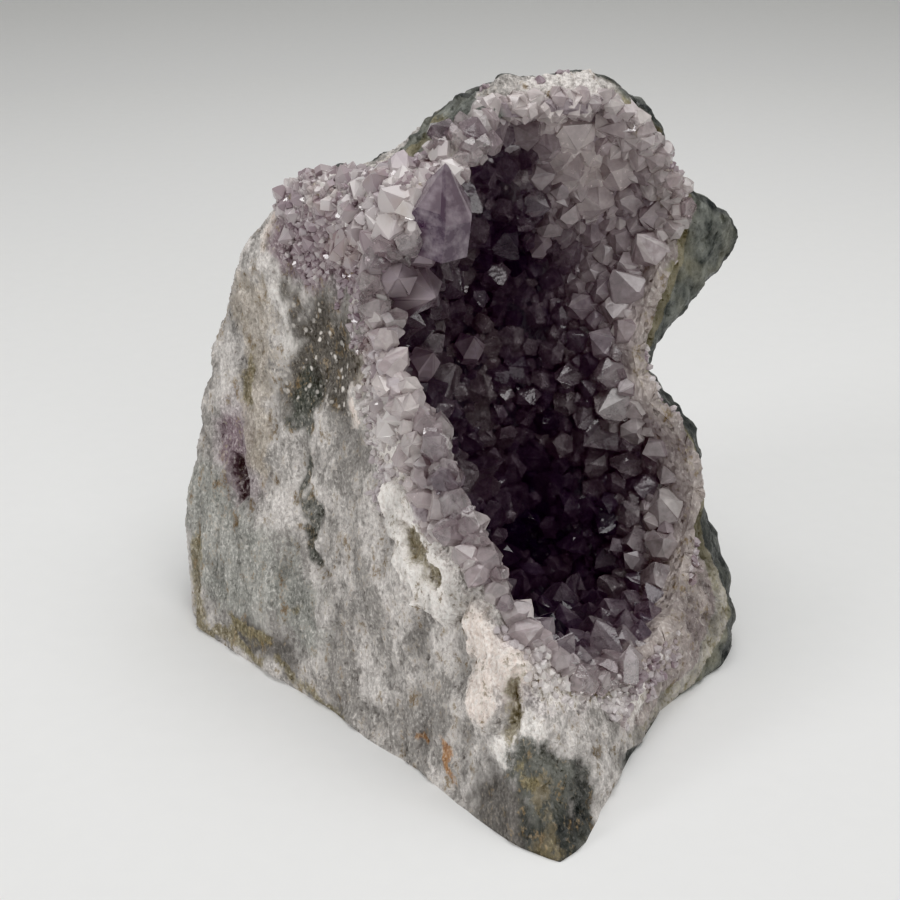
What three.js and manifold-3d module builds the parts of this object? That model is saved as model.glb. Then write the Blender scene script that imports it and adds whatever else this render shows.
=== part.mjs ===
// An amethyst geode with a sawn base: a chunk of a geode's wall, with the hollow that it enclosed.
// The rock is one stone: massive quartz, thick on the left, with its rind at the back and right.
// The hollow opens towards the front right. One crust of amethyst points, grown together, lines it.
// Millimetres, +Z up, the broken face and the mouth towards -Y.
// The origin is under the middle of the part, on the sawn base.
import * as THREE from "three";
import { mergeVertices } from "three/addons/utils/BufferGeometryUtils.js";
import Module from "manifold-3d";

const wasm = await Module();
wasm.setup();

// ---------------------------------------------------------------- driving dimensions

// Edges and swells of the rock's outside, each followed from the sawn base up to the crown.
// They run round the rock, counter-clockwise from above, and each holds the same nine heights.
const RAILS = {
  left_corner: [
    [-53, 39, 0],
    [-54, 44, 13],
    [-52, 48, 28],
    [-49, 51, 44],
    [-45, 51, 59],
    [-38, 49, 76],
    [-28, 45, 90],
    [-12, 47, 92],
    [-3, 53, 100],
  ],
  broken_face_outer: [
    [-30, 12, 0],
    [-31, 17, 13],
    [-30, 23, 28],
    [-30, 30, 44],
    [-28, 35, 60],
    [-26, 38, 76],
    [-21, 37, 91],
    [-9, 42, 93],
    [-1, 51, 101],
  ],
  broken_face_inner: [
    [-6, -15, 0],
    [-7, -9, 13],
    [-8, -2, 28],
    [-10, 6, 44],
    [-14, 17, 60],
    [-18, 27, 76],
    [-13, 28, 93],
    [-3, 35, 96],
    [2, 49, 103],
  ],
  ridge: [
    [18, -41, 0],
    [14, -30, 13],
    [9, -18, 29],
    [5, -8, 46],
    [-6, 9, 61],
    [-10, 20, 76],
    [-5, 22, 94],
    [2, 31, 99],
    [5, 47, 105],
  ],
  apron: [
    [30, -18, 0],
    [29, -15, 11],
    [24, -6, 23],
    [20, 4, 45],
    [11, 18, 61],
    [8, 27, 77],
    [8, 32, 94],
    [9, 39, 102],
    [9, 47, 108],
  ],
  apron_right: [
    [39, 4, 0],
    [40, 5, 8],
    [38, 9, 19],
    [33, 20, 44],
    [27, 32, 60],
    [27, 40, 77],
    [25, 42, 96],
    [20, 45, 105],
    [16, 48, 108],
  ],
  right_rim: [
    [56, 26, 0],
    [57, 30, 11],
    [51, 32, 22],
    [46, 36, 42],
    [37, 43, 54],
    [58, 58, 73.5],
    [44, 52, 87],
    [37, 52, 101],
    [25, 51, 108],
  ],
  right_back: [
    [48, 39, 0],
    [49, 43, 12],
    [50, 47, 26],
    [45, 50, 42],
    [35, 54, 55],
    [50, 64, 69],
    [41, 60, 86],
    [36, 59, 99],
    [24, 56, 106],
  ],
  back_right: [
    [37, 53, 0],
    [39, 57, 13],
    [40, 60, 28],
    [37, 63, 44],
    [32, 65, 60],
    [34, 68, 72],
    [29, 67, 88],
    [25, 64, 98],
    [16, 58, 105],
  ],
  back: [
    [8, 58, 0],
    [9, 63, 13],
    [10, 67, 28],
    [11, 70, 44],
    [11, 72, 60],
    [12, 72, 76],
    [11, 68, 90],
    [10, 64, 97],
    [8, 58, 104],
  ],
  back_left: [
    [-23, 57, 0],
    [-23, 62, 13],
    [-21, 66, 28],
    [-19, 69, 44],
    [-17, 70, 60],
    [-14, 69, 75],
    [-11, 64, 87],
    [-7, 60, 94],
    [-1, 57, 101],
  ],
  left_back: [
    [-45, 51, 0],
    [-47, 55, 13],
    [-45, 59, 28],
    [-43, 62, 44],
    [-38, 63, 60],
    [-32, 61, 76],
    [-23, 56, 88],
    [-12, 54, 90],
    [-3, 55, 99],
  ],
};

// The hollow, floor to roof. At each height it runs from the left rim to the right rim of its mouth,
// and this far back into the rock.
const HOLLOW = [
  { z: 11, left: [14, 16], right: [30, 28], deep: 6 },
  { z: 16, left: [8, 4], right: [38, 24], deep: 18 },
  { z: 24, left: [8, -8], right: [46, 23], deep: 30 },
  { z: 35, left: [7, -13], right: [49, 31], deep: 38 },
  { z: 47, left: [4, -8], right: [42, 33], deep: 36 },
  { z: 59, left: [-6, 8], right: [35, 40], deep: 28 },
  { z: 71, left: [-12, 18], right: [41, 46], deep: 22 },
  { z: 84, left: [-10, 22], right: [44, 48], deep: 18 },
  { z: 95, left: [-2, 31], right: [38, 48], deep: 14 },
  { z: 103, left: [8, 38], right: [28, 48], deep: 8 },
];
const FLARE = 1.5; // how far the hollow is opened past its mouth, as a share of its depth
const WALL_ROWS = 13; // rows of points up the hollow
const WALL_AROUND = 20; // points round the hollow

const GAP = 0.5; // clear space between the rock and the crust of crystals
const TRIM = 0.3; // clear space that is cut where a crystal would touch the rock
const CRUST = 3.5; // thickness of the crust that the crystals stand on
const SPACING = 11; // from one crystal to the next
const RADIUS = { min: 3.4, max: 5.6 }; // of a crystal, to its edges
const SCATTER = 0.7; // how far a crystal stands from its even place, as a share of the spacing
const LENGTH = 2.1; // of a crystal, root to tip, for each mm of its radius
const LEAN = 0.5; // sideways lean of a crystal, for each mm that it stands up
const TIP = 1.1; // height of a quartz point's tip for each mm of its radius

const RINGS = 27; // rows of points up the rock
const PER_RAIL = 3; // points round the rock between one rail and the next
const LUMP = { size: 14, depth: 1.4 }; // the knobbly outside: lump spacing, and how far it moves

// ---------------------------------------------------------------- helpers

// A repeatable number from 0 to 1 for a whole-number cell of space.
function cellValue(i, j, k) {
  const mixed = Math.sin(i * 127.1 + j * 311.7 + k * 74.7) * 43758.5453;
  return mixed - Math.floor(mixed);
}

const UP = new THREE.Vector3(0, 0, 1);
const CORNERS = [0, 1, 2, 3, 4, 5, 6, 7].map((n) => [n & 1, (n >> 1) & 1, n >> 2]);
const ease = (t) => t * t * (3 - 2 * t);

// Smooth lumps from -1 to 1, one every size mm.
function lumps(p, size) {
  const [x, y, z] = [p.x / size, p.y / size, p.z / size];
  const [i, j, k] = [Math.floor(x), Math.floor(y), Math.floor(z)];
  const [u, v, w] = [ease(x - i), ease(y - j), ease(z - k)];
  let sum = 0;
  for (const [di, dj, dk] of CORNERS) {
    const weight = (di ? u : 1 - u) * (dj ? v : 1 - v) * (dk ? w : 1 - w);
    sum += weight * cellValue(i + di, j + dj, k + dk);
  }
  return 2 * sum - 1;
}

// A three.js geometry as a manifold-3d solid, ready to join or cut.
function toSolid(geometry) {
  const bare = geometry.clone();
  bare.deleteAttribute("normal");
  bare.deleteAttribute("uv");
  const merged = mergeVertices(bare, 1e-4);
  return new wasm.Manifold(
    new wasm.Mesh({
      numProp: 3,
      vertProperties: new Float32Array(merged.attributes.position.array),
      triVerts: new Uint32Array(merged.index.array),
    }),
  );
}

// A manifold-3d solid back as a three.js geometry.
function toGeometry(solid) {
  const mesh = solid.getMesh();
  const geometry = new THREE.BufferGeometry();
  geometry.setAttribute("position", new THREE.BufferAttribute(mesh.vertProperties, 3));
  geometry.setIndex(new THREE.BufferAttribute(mesh.triVerts, 1));
  geometry.computeVertexNormals();
  return geometry;
}

// ---------------------------------------------------------------- the rock

// The rock's whole outside as rings of points, before the hollow is opened.
function outsideRings() {
  const rails = Object.values(RAILS).map(
    (points) => new THREE.CatmullRomCurve3(points.map((p) => new THREE.Vector3(...p))),
  );
  const rings = [];
  for (let r = 0; r <= RINGS; r++) {
    const across = rails.map((rail) => rail.getPoint(r / RINGS));
    const ring = new THREE.CatmullRomCurve3(across, true);
    const count = rails.length * PER_RAIL;
    rings.push(Array.from({ length: count }, (_, i) => ring.getPoint(i / count)));
  }
  return rings;
}

function middleOf(ring) {
  return ring.reduce((sum, p) => sum.add(p), new THREE.Vector3()).divideScalar(ring.length);
}

// Moves the outside in and out in lumps; the sawn base stays flat.
function roughen(rings) {
  rings.forEach((ring, r) => {
    const middle = middleOf(ring);
    for (const p of ring) {
      const out = p.clone().sub(middle).setZ(0).normalize();
      p.addScaledVector(out, LUMP.depth * lumps(p, LUMP.size));
      if (r === 0) p.z = 0;
    }
  });
  return rings;
}

// One closed skin over the rings, each of them counter-clockwise from above, with a flat foot.
function skinOver(rings, crownHeight) {
  const count = rings[0].length;
  const points = rings.flat();
  const foot = points.push(middleOf(rings[0])) - 1;
  const crown = points.push(middleOf(rings.at(-1)).add(new THREE.Vector3(0, 0, crownHeight))) - 1;
  const faces = [];
  for (let r = 0; r < rings.length - 1; r++) {
    for (let i = 0; i < count; i++) {
      const [a, b] = [r * count + i, r * count + ((i + 1) % count)];
      faces.push(a, b, b + count, a, b + count, a + count);
    }
  }
  const top = (rings.length - 1) * count;
  for (let i = 0; i < count; i++) {
    const next = (i + 1) % count;
    faces.push(foot, next, i, crown, top + i, top + next);
  }
  const geometry = new THREE.BufferGeometry().setFromPoints(points);
  geometry.setIndex(faces);
  return geometry;
}

// ---------------------------------------------------------------- the hollow

const leftRim = new THREE.CatmullRomCurve3(HOLLOW.map((row) => new THREE.Vector3(...row.left, row.z)));
const rightRim = new THREE.CatmullRomCurve3(HOLLOW.map((row) => new THREE.Vector3(...row.right, row.z)));
const deepness = new THREE.CatmullRomCurve3(HOLLOW.map((row) => new THREE.Vector3(row.deep, 0, row.z)));

// Half of the hollow at a share of its height: its middle, half its width, and how far back it goes.
function hollowSection(share) {
  const across = rightRim.getPoint(share).sub(leftRim.getPoint(share)).divideScalar(2);
  const middle = leftRim.getPoint(share).add(across);
  const back = new THREE.Vector3(-across.y, across.x, 0).setLength(deepness.getPoint(share).x);
  return { across, middle, back };
}

// A point of the hollow's wall. The turn is 0 at the right rim, and half a turn at the left rim.
function wallPoint(share, turn) {
  const { across, middle, back } = hollowSection(share);
  const depth = Math.sin(turn) > 0 ? Math.sin(turn) : FLARE * Math.sin(turn);
  return middle.addScaledVector(across, Math.cos(turn)).addScaledVector(back, depth);
}

function hollowRings() {
  const turns = Array.from({ length: WALL_AROUND }, (_, i) => (i / WALL_AROUND) * 2 * Math.PI);
  const shares = Array.from({ length: WALL_ROWS + 1 }, (_, r) => r / WALL_ROWS);
  return shares.map((share) => turns.map((turn) => wallPoint(share, turn)));
}

// The same closed skin with every point moved out of it, or into it where the distance is negative.
function offset(geometry, distance) {
  const moved = geometry.clone();
  moved.computeVertexNormals();
  const { position, normal } = moved.attributes;
  for (let i = 0; i < position.count; i++) {
    const out = new THREE.Vector3().fromBufferAttribute(normal, i);
    const p = new THREE.Vector3().fromBufferAttribute(position, i).addScaledVector(out, distance);
    position.setXYZ(i, p.x, p.y, p.z);
  }
  return moved;
}

const outside = toSolid(skinOver(roughen(outsideRings()), 1));
const hollow = skinOver(hollowRings(), 0);
const rock = toGeometry(outside.subtract(toSolid(hollow)));

// ---------------------------------------------------------------- the crystals

// One quartz point that stands on the origin: six sides, and a six-sided tip.
function crystal(radius, length) {
  const edges = [0, 1, 2, 3, 4, 5].map((i) => (i * Math.PI) / 3);
  const hexagon = (z) => edges.map((turn) => new THREE.Vector3(radius, 0, z).applyAxisAngle(UP, turn));
  return skinOver([hexagon(0), hexagon(length - TIP * radius)], TIP * radius);
}

// The way into the hollow, square to its wall.
function wallFacing(share, turn) {
  const step = 0.01;
  const round = wallPoint(share, turn + step).sub(wallPoint(share, turn - step));
  const rise = wallPoint(share + step, turn).sub(wallPoint(share - step, turn));
  return rise.cross(round).normalize();
}

// One crystal of the wall, turned and leaning by chance but the same in every build.
function plant(share, turn, seed) {
  const chance = (n) => cellValue(seed, n, 7);
  const facing = wallFacing(share, turn);
  const lean = new THREE.Vector3(chance(1) - 0.5, chance(2) - 0.5, chance(3) - 0.5);
  const axis = facing.clone().addScaledVector(lean, 2 * LEAN).normalize();
  const radius = RADIUS.min + (RADIUS.max - RADIUS.min) * chance(4);
  const root = wallPoint(share, turn).addScaledVector(facing, CRUST / 2);
  const stand = new THREE.Quaternion().setFromUnitVectors(UP, axis);
  const point = crystal(radius, LENGTH * radius).rotateZ(chance(5) * Math.PI);
  return toSolid(point.applyQuaternion(stand).translate(root.x, root.y, root.z));
}

// Crystals all over the hollow's wall, in scattered rows; every second row is set half a step round.
function plantWall() {
  const crystals = [];
  const rows = Math.round((HOLLOW.at(-1).z - HOLLOW[0].z) / SPACING);
  for (let row = 0; row < rows; row++) {
    const { across, back } = hollowSection((row + 0.5) / rows);
    const wall = (Math.PI * Math.hypot(across.length(), back.length())) / Math.SQRT2;
    const count = Math.round(wall / SPACING);
    for (let i = 0; i < count; i++) {
      const seed = crystals.length;
      const up = SCATTER * (cellValue(seed, 8, 7) - 0.5);
      const round = SCATTER * (cellValue(seed, 9, 7) - 0.5);
      const turn = ((i + 0.25 + (row % 2) / 2 + round) / count) * Math.PI;
      crystals.push(plant((row + 0.5 + up) / rows, turn, seed));
    }
  }
  return crystals;
}

const crust = toSolid(offset(hollow, -GAP)).subtract(toSolid(offset(hollow, -CRUST))).intersect(outside);
const druse = wasm.Manifold.union([crust, ...plantWall()]).subtract(toSolid(offset(rock, TRIM)));

// ---------------------------------------------------------------- materials and assembly

const quartzRock = new THREE.MeshStandardMaterial({ color: 0xa9a4a6, roughness: 0.8, metalness: 0 });
const amethyst = new THREE.MeshStandardMaterial({ color: 0x4c3a54, roughness: 0.12, metalness: 0 });

function part(name, geometry, material) {
  const mesh = new THREE.Mesh(geometry, material);
  mesh.name = name;
  return mesh;
}

const geode = new THREE.Group();
geode.add(part("matrix", rock, quartzRock));
geode.add(part("cavity_druse", toGeometry(druse), amethyst));

// The origin goes under the middle of the whole part.
const box = new THREE.Box3().setFromObject(geode);
const middle = box.getCenter(new THREE.Vector3());
geode.position.set(-middle.x, -middle.y, -box.min.z);

export default geode;
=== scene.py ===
# %% [markdown]
# # An amethyst geode on its sawn base
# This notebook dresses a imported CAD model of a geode: a chunk of a geode's wall, standing on a flat cut.
# The CAD model knows the sizes. Here we give it the broken quartz, the rind and the crystals that the eye
# sees. Everything is in metres, in the CAD model's own frame, so a piece goes where the CAD says.

# %% Load the frame
import functools
import math

import bmesh
import bpy
import numpy as np
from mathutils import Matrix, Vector
from mathutils.bvhtree import BVHTree
from mathutils.kdtree import KDTree


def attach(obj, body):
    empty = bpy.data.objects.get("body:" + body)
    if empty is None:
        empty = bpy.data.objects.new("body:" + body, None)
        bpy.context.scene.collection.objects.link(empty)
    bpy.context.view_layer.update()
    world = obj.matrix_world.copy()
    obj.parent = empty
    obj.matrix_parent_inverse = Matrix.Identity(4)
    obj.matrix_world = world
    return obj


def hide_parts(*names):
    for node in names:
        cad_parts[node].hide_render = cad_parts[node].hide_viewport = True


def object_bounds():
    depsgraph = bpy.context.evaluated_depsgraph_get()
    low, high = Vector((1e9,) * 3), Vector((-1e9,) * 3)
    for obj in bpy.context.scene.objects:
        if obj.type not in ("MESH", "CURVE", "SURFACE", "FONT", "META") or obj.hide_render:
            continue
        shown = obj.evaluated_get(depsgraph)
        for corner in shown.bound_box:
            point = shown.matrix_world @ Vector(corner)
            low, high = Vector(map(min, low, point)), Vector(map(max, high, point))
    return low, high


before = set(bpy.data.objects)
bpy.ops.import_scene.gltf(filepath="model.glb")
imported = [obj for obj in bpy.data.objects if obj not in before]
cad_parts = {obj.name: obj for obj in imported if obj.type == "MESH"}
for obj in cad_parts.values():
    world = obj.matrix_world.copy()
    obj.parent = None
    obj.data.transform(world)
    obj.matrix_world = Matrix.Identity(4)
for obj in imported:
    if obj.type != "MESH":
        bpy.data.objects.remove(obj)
cad_low, cad_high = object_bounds()
LOW = np.array(cad_low)
SIZE = np.array(cad_high) - LOW
MM = 0.001
print("box in mm:", (SIZE / MM).round(1))


def spot(*place):
    """A place in the part's box, in metres, from thousandths of the box's width, depth and height."""
    return LOW + SIZE * (np.array(place) / 1000)


# %% [markdown]
# ## Camera, floor and light
# A hand specimen like this is looked at from a little above, from about two and a half times its height
# away. The floor is plain, pale and matt, and it curves up behind into a backdrop, as paper does in a light
# tent. A big soft box above gives long soft highlights, a small one at the left gives the crystals their
# sparks, and a softer one in front opens the shadows.

# %% Camera
AIM = Vector(spot(486, 361, 508))
VIEW_ANGLE = math.radians(30)
LOOK_DOWN = math.radians(25)
DISTANCE = 0.285

camera_data = bpy.data.cameras.new("camera")
camera_data.angle = VIEW_ANGLE
camera = bpy.data.objects.new("camera", camera_data)
bpy.context.scene.collection.objects.link(camera)
bpy.context.scene.camera = camera

back = Vector((0, -math.cos(LOOK_DOWN), math.sin(LOOK_DOWN)))
camera.location = AIM + DISTANCE * back
camera.rotation_euler = back.to_track_quat("Z", "Y").to_euler()
print("camera at mm:", [round(c / MM, 1) for c in camera.location])


# %% Small helpers for meshes
def new_object(name, mesh):
    made = bpy.data.objects.new(name, mesh)
    bpy.context.scene.collection.objects.link(made)
    return made


def mesh_from(name, points, faces):
    mesh = bpy.data.meshes.new(name)
    mesh.from_pydata(np.asarray(points).tolist(), [], faces)
    mesh.update()
    return mesh


def points_of(mesh):
    flat = np.empty(len(mesh.vertices) * 3)
    mesh.vertices.foreach_get("co", flat)
    return flat.reshape(-1, 3)


def set_points(mesh, points):
    mesh.vertices.foreach_set("co", points.ravel())
    mesh.update()


def normals_of(mesh):
    flat = np.empty(len(mesh.vertices) * 3)
    mesh.vertex_normals.foreach_get("vector", flat)
    return flat.reshape(-1, 3)


def apply_modifiers(thing):
    """Replaces an object's mesh by the mesh that its modifiers give."""
    graph = bpy.context.evaluated_depsgraph_get()
    thing.data = bpy.data.meshes.new_from_object(thing.evaluated_get(graph))
    thing.modifiers.clear()


def paint(mesh, name, values):
    """Stores one number a point, for a material to read."""
    layer = mesh.attributes.new(name, "FLOAT", "POINT")
    layer.data.foreach_set("value", np.asarray(values, np.float32))


# %% Floor and backdrop
def paper_sweep():
    """A sheet of paper that lies flat under the object and curves up behind it."""
    width, front, flat_end, bend, height = 3.0, -1.5, 0.75, 0.5, 1.6
    turns = np.linspace(0, math.pi / 2, 24)
    profile = [(front, 0)] + [(flat_end + bend * math.sin(t), bend * (1 - math.cos(t))) for t in turns]
    profile.append((flat_end + bend, height))
    points = [(x, y, z) for y, z in profile for x in (-width / 2, width / 2)]
    faces = [(2 * i, 2 * i + 1, 2 * i + 3, 2 * i + 2) for i in range(len(profile) - 1)]
    sweep = new_object("paper_sweep", mesh_from("paper_sweep", points, faces))
    for face in sweep.data.polygons:
        face.use_smooth = True
    return sweep


paper = paper_sweep()


# %% Lights
def soft_box(name, place, aim, width, height, power):
    light = bpy.data.lights.new(name, "AREA")
    light.shape = "RECTANGLE"
    light.size, light.size_y = width, height
    light.energy = power
    lamp = new_object(name, light)
    lamp.location = place
    lamp.rotation_euler = (Vector(place) - Vector(aim)).to_track_quat("Z", "Y").to_euler()


# Place, aim, width and height in metres, and power in watts.
soft_box("overhead", (0.08, 0.06, 0.62), (0.02, 0.02, 0), 0.6, 0.5, 2.6)
soft_box("left_window", (-0.70, -0.35, 0.40), (0, 0, 0.05), 0.22, 0.22, 1.7)
soft_box("front_fill", (0.30, -0.85, 0.30), (0, 0, 0.05), 0.5, 0.4, 1.7)

ROOM_COLOUR = (0.86, 0.86, 0.83, 1)
ROOM_GLOW = 0.43
world = bpy.data.worlds.new("studio")
bpy.context.scene.world = world
world.use_nodes = True
room = world.node_tree.nodes["Background"].inputs
room["Color"].default_value = ROOM_COLOUR
room["Strength"].default_value = ROOM_GLOW
bpy.context.scene.view_settings.view_transform = "Khronos PBR Neutral"


# %% [markdown]
# ## Noise
# Stone is uneven at every size. A displacement texture could give that, but here the same noise also steers
# borders and colours, so it is worked out on the points. Each cell of space has a number, and the numbers are
# blended from cell to cell.

# %% Noise in space
CORNERS = [(i, j, k) for i in (0, 1) for j in (0, 1) for k in (0, 1)]
NEIGHBOURS = [(i, j, k) for i in (-1, 0, 1) for j in (-1, 0, 1) for k in (-1, 0, 1)]


def cell_values(cells, seed):
    """A repeatable number from 0 to 1 for each whole-number cell of space, scrambled by large primes."""
    n = cells[:, 0] * 374761393 + cells[:, 1] * 668265263 + cells[:, 2] * 2147483647 + seed * 1442695041
    n = (n ^ (n >> 13)) * 1274126177
    n = n ^ (n >> 16)
    return (n & 0xFFFFFF) / float(0x1000000)


def lumps(points, size, seed=0):
    """Smooth lumps from -1 to 1, one every size metres."""
    place = points / size
    cell = np.floor(place).astype(np.int64)
    part = place - cell
    part = part * part * (3 - 2 * part)
    total = np.zeros(len(points))
    for corner in CORNERS:
        weight = np.prod(np.where(corner, part, 1 - part), axis=1)
        total += weight * cell_values(cell + corner, seed)
    return 2 * total - 1


def crags(points, size, seed=0):
    """Lumps of three sizes at once, each half the size and half the height of the one before."""
    return sum(lumps(points, size / 2**i, seed + i) / 2**i for i in range(3)) / 1.75


def pebbles(points, size, seed=0):
    """Rounded knobs packed side by side: 1 on top of each knob and 0 in the creases between them."""
    place = points / size
    cell = np.floor(place).astype(np.int64)
    nearest = np.full(len(points), 9.0)
    for step in NEIGHBOURS:
        other = cell + step
        middle = other + np.stack([cell_values(other, seed + axis) for axis in range(3)], axis=1)
        nearest = np.minimum(nearest, np.linalg.norm(middle - place, axis=1))
    return np.clip(1 - nearest, 0, 1)


def ramp(values, start, end):
    """0 before start, 1 after end, with a smooth step between."""
    share = np.clip((values - start) / (end - start), 0, 1)
    return share * share * (3 - 2 * share)


# %% [markdown]
# ## The rock
# The rock is massive quartz: a solid mass of tiny crystals that grew into each other. It broke off a larger
# geode, so it has a broken face, a weathered rind behind, and a flat foot from the saw. A sculptor would
# start from a lump and carve; we start from the CAD solid, which already has the right size. A voxel remesh
# gives it an even grid of points, a few rounds of smoothing take the flat CAD facets away, and then every
# point is pushed in or out by noise whose size is the real grain in millimetres.

# %% The rock's even grid
GRID = 0.55 * MM
SAWN = 0.4 * MM
ROUNDS = 24


def distance_to(node, points):
    """How far each point is from a CAD node's surface."""
    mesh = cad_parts[node].data
    corners = [v.co for v in mesh.vertices]
    tree = BVHTree.FromPolygons(corners, [tuple(p.vertices) for p in mesh.polygons])
    return np.array([tree.find_nearest(Vector(p))[3] for p in points])


def distance_from(chosen, points):
    """How far each point is from the nearest of the chosen ones."""
    tree = KDTree(len(chosen))
    for i, place in enumerate(chosen):
        tree.insert(place, i)
    tree.balance()
    return np.array([tree.find(place)[2] for place in points])


def unit(*direction):
    return np.array(direction) / np.linalg.norm(direction)


SKIN_WAY = unit(0.42, 0.9, 0.05)
WALL_GAP = 1.2 * MM

rock = new_object("broken_rock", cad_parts["matrix"].data.copy())
remesh = rock.modifiers.new("even grid", "REMESH")
remesh.mode = "VOXEL"
remesh.voxel_size = GRID
apply_modifiers(rock)
on_cut = points_of(rock.data)[:, 2] < SAWN
smooth = rock.modifiers.new("no facets", "SMOOTH")
smooth.factor = 0.5
smooth.iterations = ROUNDS
apply_modifiers(rock)
form = points_of(rock.data)
form[on_cut, 2] = 0
set_points(rock.data, form)
facing = normals_of(rock.data)
to_lining = distance_to("cavity_druse", form)
print("rock points on the even grid:", len(form))


# %% Seats for the crystals of the hollow
def within(distance):
    """1 on the wall under the lining, fading to 0 just outside it."""
    return 1 - ramp(distance, WALL_GAP, WALL_GAP + 1 * MM)


def crust(points):
    """How thick the quartz under the crystals is, in mm: it swells and thins from place to place."""
    return 1.6 + 1.8 * crags(points, 9 * MM, 8)


LOWEST_SEAT = 6 * MM
under_lining = within(to_lining)
edge = form[(under_lining > 0.05) & (under_lining < 0.35)]
lined = np.flatnonzero((under_lining > 0.35) & (form[:, 2] > LOWEST_SEAT))
behind_rim = distance_from(edge, form[lined])
bare_strip = 5 * MM * ramp(form[lined, 0], 30 * MM, 36 * MM) * (1 - ramp(form[lined, 2], 70 * MM, 80 * MM))
lined = lined[behind_rim > bare_strip]
behind_rim = behind_rim[behind_rim > bare_strip]
seats = form[lined] + crust(form[lined])[:, None] * MM * facing[lined]
seat_facing = facing[lined]
print("seats:", len(seats), "up to", (behind_rim.max() / MM).round(1), "mm behind the rim")


# %% Fewer points where nobody looks
# The wall behind the crystals and the sawn foot need few points, and the skin fewer than the broken face.
KEPT_SHARE = 0.52
unseen = np.maximum(to_lining < WALL_GAP, 0.9 * on_cut)
unseen = np.maximum(unseen, 0.5 * ramp(facing @ SKIN_WAY, 0, 0.3))
coarse = rock.vertex_groups.new(name="coarse")
for level in np.arange(1, 11) / 10:
    coarse.add(np.flatnonzero(np.round(unseen, 1) == level).tolist(), level, "REPLACE")
thin_out = rock.modifiers.new("thin out", "DECIMATE")
thin_out.ratio = KEPT_SHARE
thin_out.vertex_group = coarse.name
apply_modifiers(rock)

form = points_of(rock.data)
facing = normals_of(rock.data)
on_cut = form[:, 2] < 0.01 * MM
to_lining = distance_to("cavity_druse", form)
in_hollow = within(to_lining)
print("rock points kept:", len(form), "share inside the hollow:", in_hollow.mean().round(3))


# %% [markdown]
# The broken face, the rind and the sawn foot each have a relief of their own. To know where a point belongs
# we use what a geologist would: which way it faces, and how far it is from the crystals. The geode's skin
# lies behind and at the right, and a band of chalcedony lies between the skin and the crystals. Real
# borders wander, so they are measured on points that have been pushed about a little.

# %% Which part of the rock a point belongs to
def wandering(points, size, depth, seed):
    """The same points, each pushed up to depth its own way, so that a border drawn on them wanders."""
    return points + depth * np.stack([crags(points, size, seed + 10 * axis) for axis in range(3)], axis=1)


def uneven(points):
    return wandering(wandering(points, 11 * MM, 5 * MM, 40), 3 * MM, 2 * MM, 70)


ragged = crags(form, 6 * MM, 55)
BROKEN_WAY = unit(-0.73, -0.63, 0.23)

past_rim = np.where(in_hollow > 0.2, -distance_from(edge, form), to_lining)
at_right = ramp(form[:, 0], 26 * MM, 33 * MM)
low_down = 1 - ramp(form[:, 2], 8 * MM, 32 * MM)
skin_from = (3.4 + 11.0 * low_down + 0.9 * ragged) * MM
turned_away = facing @ SKIN_WAY
skin = ramp(turned_away + 0.12 * ragged, 0.02, 0.22) * ramp(past_rim, 0.5 * MM, 1.5 * MM)
skin = np.maximum(skin, at_right * ramp(past_rim, skin_from, skin_from + 0.8 * MM))
broken = ramp(facing @ BROKEN_WAY, 0.2, 0.6) * (1 - skin)


def strokes(*each, on):
    """1 along strokes, fading to 0 at a radius. Each stroke is two places of the box and its radius in mm."""
    mask = np.zeros(len(on))
    for *ends, radius in each:
        a, b = spot(*ends[:3]), spot(*ends[3:])
        along = np.clip((on - a) @ (b - a) / max((b - a) @ (b - a), 1e-12), 0, 1)
        away = np.linalg.norm(on - a - along[:, None] * (b - a), axis=1) / (radius * MM)
        mask = np.maximum(mask, 1 - ramp(away, 0.1, 1))
    return mask


rock_places = uneven(form)


def on_rock(*each):
    return strokes(*each, on=rock_places)


def bare_corner(places):
    """The left end of the crown, where the rind comes round to the front and no crystals grew."""
    return strokes(
        (450, 780, 900, 475, 825, 935, 8),
        (450, 770, 900, 505, 725, 930, 10),
        (500, 800, 960, 520, 830, 980, 8),
        on=places,
    )


skin = np.maximum(skin, ramp(bare_corner(rock_places), 0.2, 0.4))


# %% The marks that the rock carries, as places on it
eye = on_rock((418, 378, 375, 458, 303, 298, 8.5))
eye_middle = on_rock((423, 366, 356, 448, 322, 312, 3.5))
dent = on_rock((95, 725, 365, 118, 675, 285, 5.5))
dent_middle = on_rock((108, 695, 315, 120, 668, 272, 3.4))
glassy_patch = on_rock(
    (215, 700, 650, 235, 670, 600, 7),
    (255, 660, 600, 235, 640, 500, 11),
    (300, 590, 600, 290, 575, 520, 10),
    (317, 553, 560, 300, 560, 530, 7),
)
streak = on_rock(
    (228, 640, 500, 232, 622, 430, 5),
    (234, 620, 420, 243, 568, 311, 3.2),
    (243, 568, 311, 262, 510, 230, 2.4),
)
bulges = on_rock(
    (517, 232, 262, 563, 193, 242, 7.5),
    (531, 185, 200, 531, 185, 184, 8),
)
crease = on_rock((584, 172, 223, 575, 138, 160, 3))
front_tip = on_rock(
    (600, 98, 123, 690, 112, 70, 7.5),
    (690, 105, 60, 690, 70, 10, 10),
    (640, 70, 80, 665, 30, 10, 8),
)
tan = on_rock(
    (612, 85, 110, 635, 50, 50, 2.4),
    (640, 40, 40, 660, 20, 10, 3.4),
)
polished = on_rock(
    (530, 110, 45, 581, 83, 65, 7),
    (560, 90, 40, 625, 40, 20, 10),
    (220, 520, 50, 150, 560, 50, 8),
)


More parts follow.
